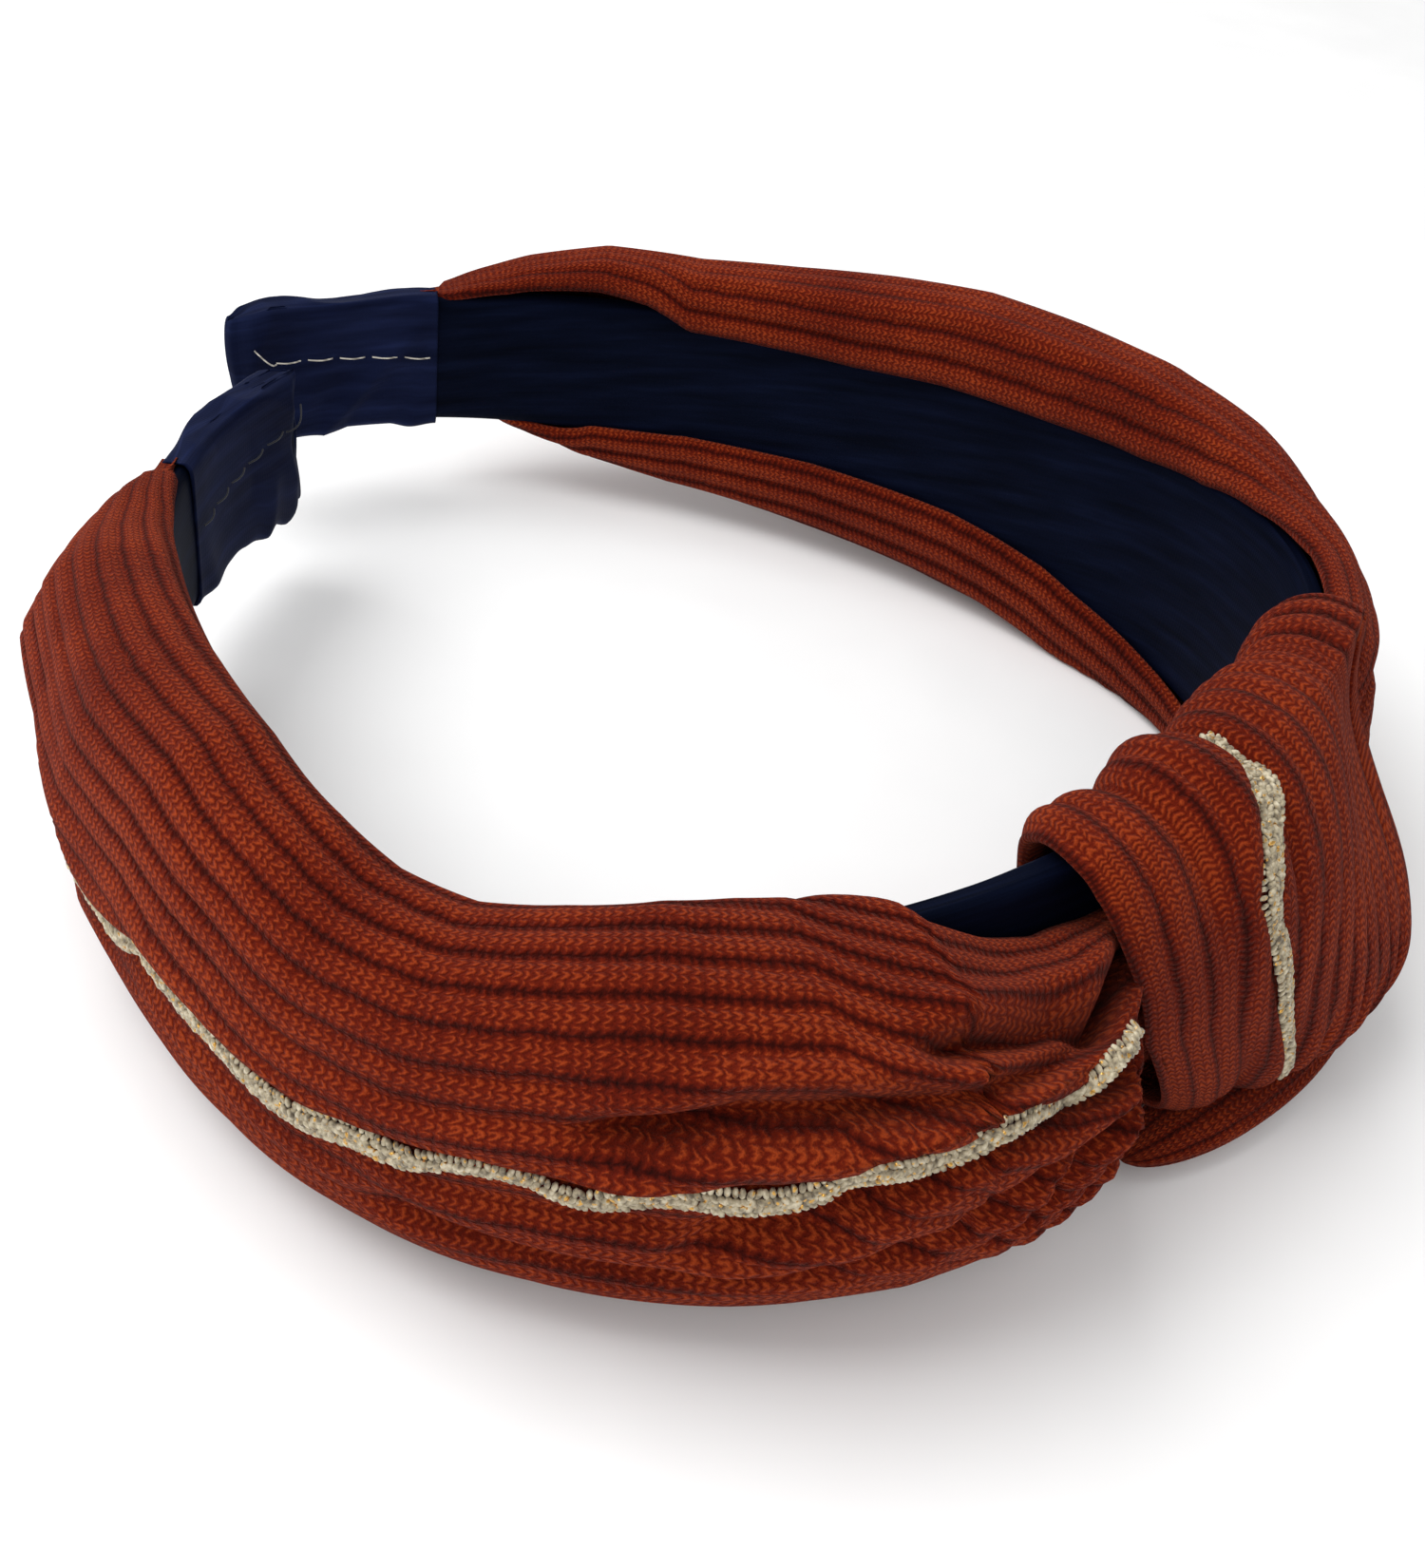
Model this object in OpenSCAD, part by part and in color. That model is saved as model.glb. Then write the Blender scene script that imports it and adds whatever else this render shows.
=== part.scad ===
// Knotted rib-knit hairband: a sprung plastic hoop in a satin sleeve, dressed with two puffed
// knit wings, a wrapped knot and a metallic braid. It lies on its side: +Z runs across the
// width of the band, the knot faces -Y and the two tips nearly meet on the +Y side.
// Every place on the band is given as (s, n, z): s is the distance along the hoop from the
// middle of the crown, positive to the right, n is the distance outwards from the middle of
// the hoop's thickness, and z is the height above the hoop's centre line.

/* [Hoop] */
// Radii of the four arcs that each arm is bent to, crown first
arc_radii = [98, 40, 123, 64]; // [30:1:150]
// Angles that the right arm turns through on those arcs
right_angles = [12.5, 71, 33.5, 50.5]; // [5:0.5:80]
// Angles that the left arm turns through on those arcs
left_angles = [33, 72, 21, 44]; // [5:0.5:80]
// Thickness of the bare plastic hoop
core_thick = 1.8; // [1.2:0.1:2.2]
// Thickness of the hoop in its satin sleeve
sleeve_thick = 3; // [2.6:0.1:3.4]
// Width of the sleeved hoop at the crown
crown_width = 32.4; // [28:0.2:36]
// Width of the sleeved hoop at its tips
tip_width = 16.2; // [14:0.2:18]
// Distance from the crown's middle at which each arm is taken to flex
flex_s = 34; // [33:0.5:36]

/* [Knit wings] */
// Distance from the crown's middle to the wings' sewn ends
wing_end = 171; // [165:1:174]
// Height of the hoop's centre line above the surface that the band lies on
centre_height = 20.4; // [20:0.1:21]
// Thickness of the knit where it is turned in over the sleeve's edges
knit_thick = 1.6; // [1.2:0.1:2]
// How far the knit's turned-in edges reach over the lining
lip = 5.5; // [4:0.5:7]

/* [Trim and ends] */
// Width of the metallic braid on the wings
trim_width = 3.6; // [3:0.2:5]
// Thickness of the metallic braid
trim_thick = 0.9; // [0.6:0.1:1.2]
// Length of the satin caps over the tips
cap_length = 27; // [20:1:27]
// Thickness of the satin caps
cap_thick = 1.3; // [1:0.1:1.6]

/* [Hidden] */

knit_colour = [0.52, 0.22, 0.13];
satin_colour = [0.06, 0.08, 0.14];
braid_colour = [0.78, 0.68, 0.48];

LEFT = -1;
RIGHT = 1;
step = 5;              // pitch of the rings along the band
clear = 0.2;           // air between one piece and the next
core_air = 0.1;        // air between the plastic and the inside of its sleeve
sleeve_wall = (sleeve_thick - core_thick) / 2;
flex_gap = 0.5;        // half of the gap across each flexing line
flex_slant = 0.47;     // how far a wing's end leans back for each millimetre outwards
crown_y = -58;         // the crown's middle, before the band is centred on the origin
shift = [6.43, -3.83]; // puts the middle of the band's box on the Z axis
hoop_length = [201, 199.5];   // left and right arm, crown to tip
tip_margin = 0.6;      // how far the plastic stops short of the sleeve's open end

function mix(a, b, t) = a + (b - a) * t;
function clamp01(t) = max(0, min(1, t));
function power(v, p) = sign(v) * pow(abs(v), p);
function steps(a, b, count) = [for (i = [0:count]) mix(a, b, i / count)];

// ---- The hoop's path ----

function arc_end(angles, i) = i == 0 ? [0, crown_y, 0] :
    let (p = arc_end(angles, i - 1), h = p[2] + angles[i - 1], r = arc_radii[i - 1])
    [p[0] + r * (sin(h) - sin(p[2])), p[1] + r * (cos(p[2]) - cos(h)), h];
function arc_length(angles, i) = arc_radii[i] * angles[i] * PI / 180;
function on_arm(angles, s, i = 0) =
    (i < 3 && s > arc_length(angles, i)) ? on_arm(angles, s - arc_length(angles, i), i + 1) :
    let (p = arc_end(angles, i), h = p[2] + s / arc_radii[i] * 180 / PI, r = arc_radii[i])
    [p[0] + r * (sin(h) - sin(p[2])), p[1] + r * (cos(p[2]) - cos(h)), h];
function place(s, n, z) =
    let (side = s < 0 ? LEFT : RIGHT, p = on_arm(s < 0 ? left_angles : right_angles, abs(s)))
    [side * (p[0] + sin(p[2]) * n) + shift[0], p[1] - cos(p[2]) * n + shift[1],
     z + centre_height];

function arm_length(s) = s < 0 ? hoop_length[0] : hoop_length[1];
function half_width(s) = lookup(abs(s) / arm_length(s),
    [[0, crown_width / 2], [0.35, crown_width * 0.435], [0.75, tip_width * 0.605],
     [1, tip_width / 2]]);

// ---- Sheets with a thickness ----

// A solid between an outer and an inner grid of points: rings along the band, points across it
module thick_sheet(outer, inner) {
    rings = len(outer);
    across = len(outer[0]);
    base = rings * across;
    function at(i, j) = i * across + j;
    along = [for (i = [0:rings - 2]) for (j = [0:across - 2]) [i, j]];
    faces = concat(
        [for (c = along) [at(c[0], c[1]), at(c[0] + 1, c[1]), at(c[0], c[1] + 1)]],
        [for (c = along) [at(c[0] + 1, c[1]), at(c[0] + 1, c[1] + 1), at(c[0], c[1] + 1)]],
        [for (c = along) [base + at(c[0], c[1]), base + at(c[0], c[1] + 1),
                          base + at(c[0] + 1, c[1])]],
        [for (c = along) [base + at(c[0] + 1, c[1]), base + at(c[0], c[1] + 1),
                          base + at(c[0] + 1, c[1] + 1)]],
        [for (j = [0:across - 2]) each [
            [at(0, j), at(0, j + 1), base + at(0, j)],
            [at(0, j + 1), base + at(0, j + 1), base + at(0, j)],
            [at(rings - 1, j), base + at(rings - 1, j), at(rings - 1, j + 1)],
            [at(rings - 1, j + 1), base + at(rings - 1, j), base + at(rings - 1, j + 1)]]],
        [for (i = [0:rings - 2]) each [
            [at(i, 0), base + at(i, 0), at(i + 1, 0)],
            [at(i + 1, 0), base + at(i, 0), base + at(i + 1, 0)],
            [at(i, across - 1), at(i + 1, across - 1), base + at(i, across - 1)],
            [at(i + 1, across - 1), base + at(i + 1, across - 1),
             base + at(i, across - 1)]]]);
    polyhedron(points = concat([for (r = outer) each r], [for (r = inner) each r]),
               faces = faces, convexity = 8);
}

// A flat strip that follows the hoop between two places, thick mm thick and inset mm narrower
// at each edge than the sleeved hoop
module hoop_strip(from, to, thick, inset) {
    stations = steps(from, to, ceil((to - from) / step));
    function edge(s, z) = z * (half_width(s) - inset);
    thick_sheet([for (s = stations) [for (z = [1, -1]) place(s, thick / 2, edge(s, z))]],
                [for (s = stations) [for (z = [1, -1]) place(s, -thick / 2, edge(s, z))]]);
}

// The stretch from one distance out to another along one side's arm, in rising order of s
function stretch(side, near, far) = side < 0 ? [-far, -near] : [near, far];

// ---- The hoop and its sleeve ----

module core(span) {
    color("ivory") hoop_strip(span[0], span[1], core_thick, sleeve_wall);
}

// The sleeve is a flat tube, so the cavity runs past both of its ends
module sleeve(span) {
    color(satin_colour) difference() {
        hoop_strip(span[0], span[1], sleeve_thick, 0);
        hoop_strip(span[0] - 1, span[1] + 1, core_thick + 2 * core_air, sleeve_wall - core_air);
    }
}

crown_span = [flex_gap - flex_s, flex_s - flex_gap];
function arm_span(side, margin) =
    stretch(side, flex_s + flex_gap, hoop_length[side < 0 ? 0 : 1] - margin);

// ---- The knit ----

// Where the knit's edge has come away from the sleeve's upper edge next to the knot (0), and
// where it is turned in over it (1)
function cover(s) = s > 0 ? clamp01((s - 22) / 7) : clamp01((-s - 47) / 11);
function puff_out(s) = lookup(s,
    [[-171, 2.6], [-160, 6.8], [-150, 10.5], [-138, 10.4], [-125, 11.8], [-112, 10.7],
     [-100, 9.9], [-88, 10.6], [-75, 12.3], [-62, 15.3], [-50, 17.7], [-42, 18.2], [-34, 17.2],
     [-29, 11.5], [-25, 7.5], [-15, 7], [0, 7.5], [12, 7], [24, 6.1], [34, 5.8], [50, 7.9],
     [62, 12.4], [75, 15.5], [88, 15.8], [100, 14.5], [112, 13.1], [125, 11.9], [138, 11.3],
     [150, 11.3], [160, 9.1], [171, 4.5]]);
function puff_up(s) = lookup(s,
    [[-171, 10.4], [-160, 11.5], [-150, 13.8], [-125, 16.9], [-112, 18], [-100, 16.3],
     [-92, 15.2], [-84, 15.2], [-76, 16.5], [-68, 18.2], [-62, 18.3], [-47, 16.9], [-40, 12.3],
     [-34, 9.1], [-20, 8], [0, 11], [17, 13.5], [21, 15.2], [26, 17.4], [34, 17.8], [50, 18],
     [62, 19.9], [75, 20.9], [100, 20.9], [112, 19.4], [125, 17.6], [138, 16.1], [150, 15.7],
     [160, 13.9], [171, 11.2]]);
function puff_down(s) = lookup(s,
    [[-171, 11.1], [-160, 14], [-150, 16.7], [-138, 18.3], [-125, 19.9], [-112, 20.1],
     [-88, 20], [-75, 20.3], [-50, 21], [-42, 19.9], [-34, 18.2], [-24, 17.9], [-14, 13],
     [12, 13], [24, 17.9], [34, 19.2], [50, 21.4], [62, 21.6], [75, 20.8], [88, 18.6],
     [100, 17.8], [112, 17.3], [125, 16.6], [138, 15.6], [150, 13.9], [160, 12], [171, 11]]);
// Under the knot the knit lies on the outside of the sleeve only
function tucked(s) = clamp01((abs(s) - 24) / 8);

belly = 2;             // the knit puffs outwards from this far outside the hoop's middle
outer_curve = 0.85;    // exponent of the puffed outside: 1 is an ellipse, less is squarer
inner_curve = 0.5;     // exponent of the turned-in edges
strip_steps = 16;      // steps across the knit, from its upper edge to its lower
thin = 0.05;           // how far apart points are kept where the knit closes up
flat_angle = 88;       // where knit that isn't turned in ends on the outside of the sleeve
lip_angle = 68;        // how much further it goes round where it is turned in

function puffed(s, angle, lift) =
    let (c = cos(angle), d = sin(angle), e = c >= 0 ? outer_curve : inner_curve,
         reach = c >= 0 ? puff_out(s) : belly + sleeve_thick / 2 + knit_thick,
         tall = d >= 0 ? puff_up(s) : puff_down(s))
    [belly + lift + reach * power(c, e), max(tall * power(d, e), -centre_height)];

// The sleeve's surface with a little air round it, by distance q from the middle of its outside
function hug(s, q, air) =
    let (t = sleeve_thick / 2 + air, h = half_width(s) + air, a = abs(q), up = sign(q))
    a <= h ? [t, q] : a <= h + 2 * t ? [t - (a - h), up * h] : [-t, up * (2 * h + 2 * t - a)];

function knit_angle(s, t) =
    mix(flat_angle + lip_angle * cover(s), -flat_angle - lip_angle * tucked(s), t);
function hug_turned(s) = half_width(s) + sleeve_thick + 3 * clear + lip;
// The inside of the knit follows the sleeve from edge to edge, with a point at each corner, and
// where the knit ends sooner the points left over close up at its edge
function hug_stops(s) =
    let (h = half_width(s) + clear, t = sleeve_thick / 2 + clear, far = hug_turned(s),
         half = [far, h + 2 * t + lip / 2, h + 2 * t, h + t, h, 0.75 * h, 0.5 * h, 0.25 * h])
    concat(half, [0], [for (i = [7:-1:0]) -half[i]]);
function knit_q(s, j) =
    let (top = mix(puff_up(s) - 3 * clear, hug_turned(s), cover(s)),
         bottom = mix(3 * clear - puff_down(s), -hug_turned(s), tucked(s)))
    max(min(hug_stops(s)[j], top - thin * j), bottom + thin * (strip_steps - j));

// A wing's end next to the knot leans away from it further out, so that the arm can flex open
lean_out = 70;
function leaned(s, n) =
    abs(s) <= flex_s ? s :
    s + sign(s) * flex_slant * max(0, n) * clamp01((lean_out - abs(s)) / (lean_out - flex_s));

knit_across = [0:strip_steps];
wing_rings = 28;
middle_rings = 14;
module knit(span, rings) {
    stations = steps(span[0], span[1], rings);
    color(knit_colour) thick_sheet(
        [for (s = stations) [for (j = knit_across)
            let (p = puffed(s, knit_angle(s, j / strip_steps), 0))
            place(leaned(s, p[0]), p[0], p[1])]],
        [for (s = stations) [for (j = knit_across)
            let (p = hug(s, knit_q(s, j), clear)) place(leaned(s, p[0]), p[0], p[1])]]);
}
function wing_span(side) = stretch(side, flex_s + flex_gap, wing_end);

// ---- The knot ----

// The knot's two edges slope: it is wide over the hoop's top edge and narrow underneath
function knot_left(z) = -25 - 0.5 * z + 0.17 * max(0, z);
function knot_right(z) = 13.5 + 0.4 * z;

// The wrap's outside, from its seam inside the band, over the top and down the front
wrap_outline = [
    [-4.4, -7], [-4.7, 2], [-5, 11], [-4.6, 17.6], [-1, 20.4], [4, 20.2], [9.5, 17.6],
    [14.6, 12], [18, 5], [19.8, -2.5], [20.2, -9], [18.6, -13.6], [15, -16.2], [9.5, -18.2],
    [4, -19.2], [-1, -19.4], [-4, -17.5], [-4.4, -9]
];
wrap_last = len(wrap_outline) - 1;
// The outline's own normal, so that a layer can be laid on it or under it
function wrap_layer(i, lift) =
    let (a = wrap_outline[max(0, i - 1)], b = wrap_outline[min(wrap_last, i + 1)], d = b - a)
    wrap_outline[i] + lift * [d[1], -d[0]] / -norm(d);
// Outside the hoop the wrap is shallower at its left edge, and at the top of its right edge,
// where it meets the wing
wrap_base = 4;
function knot_depth(u, z) =
    lookup(u, [[0, 0.52], [0.33, 0.76], [0.65, 0.95], [1, 1]])
    * (1 - 0.95 * clamp01((u - 0.35) / 0.65) * clamp01((z + 5) / 22));
function on_knot(u, i, lift) =
    let (p = wrap_layer(i, lift), out = max(0, p[0] - wrap_base),
         n = p[0] - out + out * knot_depth(u, p[1]))
    place(mix(knot_left(p[1]), knot_right(p[1]), u), n, p[1]);

wrap_thick = 2.2;
wrap_spans = 12;
module knot_wrap() {
    spans = steps(0, 1, wrap_spans);
    rows = [0:wrap_last];
    color(knit_colour) thick_sheet([for (u = spans) [for (i = rows) on_knot(u, i, 0)]],
                                   [for (u = spans) [for (i = rows) on_knot(u, i, -wrap_thick)]]);
}

// The strip's other end comes out under the knot and lies on its edge there
tuck_span = [-22, 15];
tuck_centre = [13.4, -18.9];
tuck_size = [5, 1.5];
tuck_core = 0.2;       // the roll's inner surface, as a share of its outer one
tuck_round = [for (a = steps(180, -180, 12)) min(a, 179)];
module knot_tuck() {
    stations = steps(0, 1, 8);
    function taper(u) = mix(0.45, 1, sin(180 * u));
    function at(u, angle, k) =
        place(mix(tuck_span[0], tuck_span[1], u),
              tuck_centre[0] + k * taper(u) * tuck_size[0] * cos(angle),
              tuck_centre[1] + k * tuck_size[1] * sin(angle));
    color(knit_colour) thick_sheet(
        [for (u = stations) [for (a = tuck_round) at(u, a, 1)]],
        [for (u = stations) [for (a = tuck_round) at(u, a, tuck_core)]]);
}

// ---- The braid ----

trim_air = 0.25;       // air between the braid and the knit
trim_rings = 27;
function trim_angle(s) = s > 0 ? -2 : lookup(-s,
    [[38, 42], [46, 31], [57, 19], [63, 10.6], [78, 2.4], [90, -5], [106, -3], [118, -8], [134, 0]]);
module wing_trim(span) {
    stations = steps(span[0], span[1], trim_rings);
    function half_angle(s) = trim_width / 2 / puff_down(s) * 180 / PI;
    function at(s, side, lift) =
        let (p = puffed(s, trim_angle(s) + side * half_angle(s), lift))
        place(leaned(s, p[0]), p[0], p[1]);
    color(braid_colour) thick_sheet(
        [for (s = stations) [for (side = [1, 0, -1]) at(s, side, trim_air + trim_thick)]],
        [for (s = stations) [for (side = [1, 0, -1]) at(s, side, trim_air)]]);
}
function trim_span(side) = stretch(side, flex_s + 5, wing_end - 3);

// On the knot it runs down these rows of the wrap's outline, round this share of its width, and
// narrows on the way
first_row = 4;
last_row = 11;
trim_share = 0.33;
trim_rows = [first_row:last_row];
module knot_trim() {
    function edge(i, side) =
        trim_share + side * mix(0.05, 0.025, (i - first_row) / (last_row - first_row));
    function layer(lift) =
        [for (side = [-1, 1]) [for (i = trim_rows) on_knot(edge(i, side), i, lift)]];
    color(braid_colour) thick_sheet(layer(trim_air + trim_thick), layer(trim_air));
}

// ---- The tips ----

module tip_cap(side) {
    reach = hoop_length[side < 0 ? 0 : 1];
    outside = stretch(side, reach - cap_length, reach + clear + cap_thick);
    inside = stretch(side, reach - cap_length - 1, reach + clear);
    color(satin_colour) difference() {
        hoop_strip(outside[0], outside[1], sleeve_thick + 2 * (clear + cap_thick),
                   -clear - cap_thick);
        hoop_strip(inside[0], inside[1], sleeve_thick + 2 * clear, -clear);
    }
}

stitch_count = 5;
stitch_pitch = 5;
stitch_length = 3.8;
stitch_size = 0.5;
stitch_height = 1.2;
// A row of thread along the fold inside each cap
module cap_stitch(side) {
    first = hoop_length[side < 0 ? 0 : 1] - cap_length + 1;
    face = -sleeve_thick / 2 - clear - cap_thick - 0.1;
    function at(s, n, z) = place(s, face - n, stitch_height + z);
    color("silver") for (i = [0:stitch_count - 1]) {
        span = stretch(side, first + i * stitch_pitch, first + i * stitch_pitch + stitch_length);
        thick_sheet([for (s = span) [for (z = [0.5, -0.5]) at(s, 0, z * stitch_size)]],
                    [for (s = span) [for (z = [0.5, -0.5]) at(s, stitch_size, z * stitch_size)]]);
    }
}

core(crown_span);  // core_crown
core(arm_span(LEFT, tip_margin));  // core_left
core(arm_span(RIGHT, tip_margin));  // core_right
sleeve(crown_span);  // sleeve_crown
sleeve(arm_span(LEFT, 0));  // sleeve_left
sleeve(arm_span(RIGHT, 0));  // sleeve_right
knit(wing_span(LEFT), wing_rings);  // knit_left
knit(crown_span, middle_rings);  // knit_middle
knit(wing_span(RIGHT), wing_rings);  // knit_right
knot_wrap();
knot_tuck();
wing_trim(trim_span(LEFT));  // trim_left
wing_trim(trim_span(RIGHT));  // trim_right
knot_trim();  // trim_knot
tip_cap(LEFT);  // tip_cap_left
tip_cap(RIGHT);  // tip_cap_right
cap_stitch(LEFT);  // cap_stitch_left
cap_stitch(RIGHT);  // cap_stitch_right
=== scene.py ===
import math

import bmesh
import bpy
import numpy as np
from mathutils import Matrix, Vector, noise


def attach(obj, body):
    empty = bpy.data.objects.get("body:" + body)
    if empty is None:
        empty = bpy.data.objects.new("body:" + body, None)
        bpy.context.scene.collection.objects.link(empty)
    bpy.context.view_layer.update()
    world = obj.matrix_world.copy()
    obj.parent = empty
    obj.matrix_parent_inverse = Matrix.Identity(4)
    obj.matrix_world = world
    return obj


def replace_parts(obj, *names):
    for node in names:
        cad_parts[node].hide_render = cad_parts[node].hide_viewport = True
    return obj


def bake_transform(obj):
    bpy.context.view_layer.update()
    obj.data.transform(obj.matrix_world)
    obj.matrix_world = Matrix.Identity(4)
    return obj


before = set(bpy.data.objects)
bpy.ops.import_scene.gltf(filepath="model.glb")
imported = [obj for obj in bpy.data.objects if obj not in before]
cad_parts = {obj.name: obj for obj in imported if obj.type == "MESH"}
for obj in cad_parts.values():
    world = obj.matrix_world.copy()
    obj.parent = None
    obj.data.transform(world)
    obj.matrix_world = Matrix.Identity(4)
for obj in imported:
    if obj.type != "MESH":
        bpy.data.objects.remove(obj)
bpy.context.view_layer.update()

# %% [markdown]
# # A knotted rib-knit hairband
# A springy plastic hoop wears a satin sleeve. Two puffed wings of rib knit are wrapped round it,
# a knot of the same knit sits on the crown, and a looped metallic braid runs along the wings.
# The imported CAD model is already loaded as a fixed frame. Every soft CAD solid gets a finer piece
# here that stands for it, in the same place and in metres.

MM = 0.001

# %% [markdown]
# ## Finding a place on the band
# A hairband is easiest to think about as if it were laid out straight. Each point is given as
# (s, n, z): s is how far along the hoop from the middle of the crown, positive to the right,
# n is how far outwards from the middle of the hoop's thickness, and z is the height above the
# hoop's centre line. The band lies on its side, so z runs across its width. One function bends
# such points round the four arcs of each arm, and everything soft is shaped through it.

# %% The hoop's path
LEFT, RIGHT = -1, 1
ARC_RADII = (98, 40, 123, 64)           # mm, from the crown to the tip
ARC_ANGLES = {LEFT: (33, 72, 21, 44), RIGHT: (12.5, 71, 33.5, 50.5)}    # degrees
CROWN_Y = -58
SHIFT = (6.43, -3.83)   # mm from the arcs' own origin to the middle of the CAD box
CENTRE_HEIGHT = 20.4    # mm from the table to the hoop's centre line
HOOP_LENGTH = {LEFT: 201, RIGHT: 199.5}
HOOP_THICK, SLEEVE_THICK = 1.8, 3.0
HALF_WIDTHS = ((0, 16.2), (0.35, 14.09), (0.75, 9.80), (1, 8.1))


def along_arm(side, distance):
    """Sideways place, front-to-back place and heading at distances along one arm, in mm."""
    x, heading = np.zeros_like(distance), np.zeros_like(distance)
    y = np.full_like(distance, CROWN_Y)
    left = distance.copy()
    for i, (radius, angle) in enumerate(zip(ARC_RADII, ARC_ANGLES[side])):
        limit = math.inf if i == len(ARC_RADII) - 1 else math.radians(angle)
        end = heading + np.minimum(left / radius, limit)
        x = x + radius * (np.sin(end) - np.sin(heading))
        y = y + radius * (np.cos(heading) - np.cos(end))
        left, heading = left - (end - heading) * radius, end
    return x, y, heading


def place(s, n, z):
    """Points in metres for places (s, n, z) in mm. Each may be a number or an array."""
    s, n, z = np.broadcast_arrays(*(np.asarray(v, float) for v in (s, n, z)))
    ways = {side: along_arm(side, np.abs(s)) for side in (LEFT, RIGHT)}
    x, y, heading = (np.where(s < 0, ways[LEFT][i], ways[RIGHT][i]) for i in range(3))
    side = np.where(s < 0, LEFT, RIGHT)
    return MM * np.stack([side * (x + np.sin(heading) * n) + SHIFT[0],
                          y - np.cos(heading) * n + SHIFT[1], z + CENTRE_HEIGHT], -1)


def lookup(table, value):
    """Straight-line interpolation in a table of (place, value) pairs."""
    keys, values = zip(*table)
    return np.interp(value, keys, values)


def half_width(s):
    """Half the sleeved hoop's width in mm, from a table of (share of the arm, half width)."""
    share = np.abs(s) / np.where(np.asarray(s) < 0, HOOP_LENGTH[LEFT], HOOP_LENGTH[RIGHT])
    return lookup(HALF_WIDTHS, share)


def smooth(t):
    """0 below 0, 1 above 1 and an S-curve in between."""
    t = np.clip(t, 0, 1)
    return t * t * (3 - 2 * t)


tips = [place(side * HOOP_LENGTH[side], 0, 0) for side in (LEFT, RIGHT)]
print("tips apart", round(float(np.linalg.norm(tips[0] - tips[1])) / MM, 1), "mm")

# %% [markdown]
# ## The camera
# The band is seen from above its left side with a portrait lens, a hand's length away, and the
# picture is tilted a few degrees. The camera's three axes are worked out from its direction.

# %% Camera
AZIMUTH, ELEVATION, ROLL = -0.9992, 0.6663, 0.1399      # radians
DISTANCE, ASIDE, BELOW = 217.33, -2.04, -18.94          # mm from the middle of the band
IMAGE_WIDTH, IMAGE_HEIGHT, FOCAL = 1500, 1650, 1977.8   # the focal length on the same scale
SENSOR = 36                                             # mm

back = Vector((math.sin(AZIMUTH) * math.cos(ELEVATION), -math.cos(AZIMUTH) * math.cos(ELEVATION),
               math.sin(ELEVATION)))
level = Vector((math.cos(AZIMUTH), math.sin(AZIMUTH), 0))
above = back.cross(level)
eye = (back * DISTANCE + level * ASIDE + above * BELOW
       + Vector((SHIFT[0], SHIFT[1], CENTRE_HEIGHT))) * MM
across = math.cos(ROLL) * level + math.sin(ROLL) * above
upright = math.cos(ROLL) * above - math.sin(ROLL) * level

camera = bpy.data.objects.new("camera", bpy.data.cameras.new("camera"))
bpy.context.collection.objects.link(camera)
camera.matrix_world = (Matrix.Translation(eye)
                       @ Matrix((across, upright, back)).transposed().to_4x4())
camera.data.sensor_width = SENSOR
camera.data.lens = SENSOR * FOCAL / max(IMAGE_WIDTH, IMAGE_HEIGHT)
camera.data.clip_start, camera.data.clip_end = 0.005, 20
bpy.context.scene.camera = camera
print("camera at", [round(c / MM, 1) for c in camera.location], "mm, lens",
      round(camera.data.lens, 1), "mm")

# %% [markdown]
# ## Sheets from grids
# All the cloth starts as a flat grid, as if it were cut from the roll. Each point of the grid is
# then moved to where it lies on the band. The grid's own rows and columns become a UV map called
# "cloth", so that ribs and weave follow the cloth and not the room. A Solidify modifier gives it
# its thickness.

# %% Grid helpers
def woven(name, points, cloth, middle, thick=0.0, closed=False):
    """A sheet whose grid of corners is moved to points[row, column], in metres.

    cloth holds the UV of each corner, middle[column] is a point inside the band that the outside
    faces away from, thick is in mm, and closed joins the last row to the first."""
    rows, columns = points.shape[:2]
    bm = bmesh.new()
    bmesh.ops.create_grid(bm, x_segments=columns - 1, y_segments=rows - 1, size=0.5)
    uv = bm.loops.layers.uv.new("cloth")
    bm.verts.index_update()
    where = [(round((v.co.y + 0.5) * (rows - 1)), round((v.co.x + 0.5) * (columns - 1)))
             for v in bm.verts]
    for v, (row, column) in zip(bm.verts, where):
        v.co = points[row, column]
    for face in bm.faces:
        for loop in face.loops:
            loop[uv].uv = cloth[where[loop.vert.index]]
    bm.normal_update()
    facing = sum((f.calc_center_median()
                  - Vector(middle[where[f.verts[0].index][1]])).dot(f.normal)
                 * f.calc_area() for f in bm.faces)
    if facing < 0:
        bmesh.ops.reverse_faces(bm, faces=bm.faces)
    if closed:
        bmesh.ops.remove_doubles(bm, verts=bm.verts, dist=1e-7)
    return finished(name, bm, thick)


def finished(name, bm, thick=0.0):
    """The mesh as a smooth-shaded object at the origin, thickened inwards by thick mm."""
    mesh = bpy.data.meshes.new(name)
    bm.to_mesh(mesh)
    bm.free()
    mesh.shade_smooth()
    made = bpy.data.objects.new(name, mesh)
    bpy.context.collection.objects.link(made)
    if thick:
        wall = made.modifiers.new("thickness", "SOLIDIFY")
        wall.thickness, wall.offset = thick * MM, -1
    print(f"{name}: {len(mesh.polygons)} faces")
    return made


# %% [markdown]
# ## Materials
# Every colour is written as it would be picked on a screen and turned into the linear values
# that shaders use. One helper adds a node, sets it up and plugs in whatever feeds it.

# %% Colour and node helpers
def linear(code):
    """A hex colour as linear red, green, blue and alpha."""
    parts = [int(code[i:i + 2], 16) / 255 for i in (1, 3, 5)]
    return (*(c / 12.92 if c <= 0.04045 else ((c + 0.055) / 1.055) ** 2.4 for c in parts), 1)


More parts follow.
